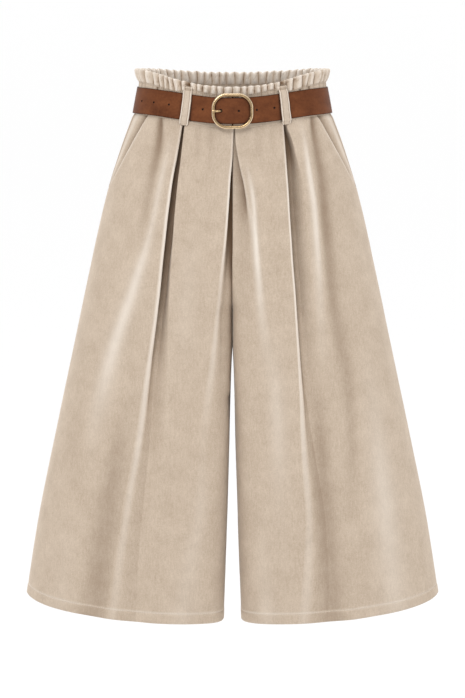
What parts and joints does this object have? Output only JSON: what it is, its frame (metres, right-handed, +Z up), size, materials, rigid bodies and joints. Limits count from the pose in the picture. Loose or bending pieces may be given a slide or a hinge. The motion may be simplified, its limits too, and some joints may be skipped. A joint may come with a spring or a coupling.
{
  "type": "wide-leg culottes with belt",
  "caption": "Wide pleated culottes in beige suede cloth, with a gathered paper-bag waist, slanted pockets and a brown leather belt with an oval buckle.",
  "frame": {"origin": "centre of the waist, level with the middle of the belt at the side seams, where the wearer holds the garment up", "axes": "+Z up, -Y to the garment's front, +X to the wearer's left"},
  "size_m": [0.612, 0.2244, 0.8091],
  "materials": {
    "suede_cloth": "brushed suede-like cloth with a fine vertical nap",
    "belt_leather": "waxed leather, satin, darker at its edges",
    "buckle_metal": "polished pale gold plating"
  },
  "bodies": {
    "root": {"front_left": "suede_cloth", "front_right": "suede_cloth", "back_left": "suede_cloth", "back_right": "suede_cloth", "pocket_back_left": "suede_cloth", "pocket_back_right": "suede_cloth", "waistband_front": "suede_cloth", "waistband_back": "suede_cloth", "belt_loop_front_left": "suede_cloth", "belt_loop_front_right": "suede_cloth", "belt_loop_back_left": "suede_cloth", "belt_loop_back_right": "suede_cloth", "belt_strap": "belt_leather", "buckle_ring": "buckle_metal", "buckle_prong": "buckle_metal"}
  },
  "joints": []
}
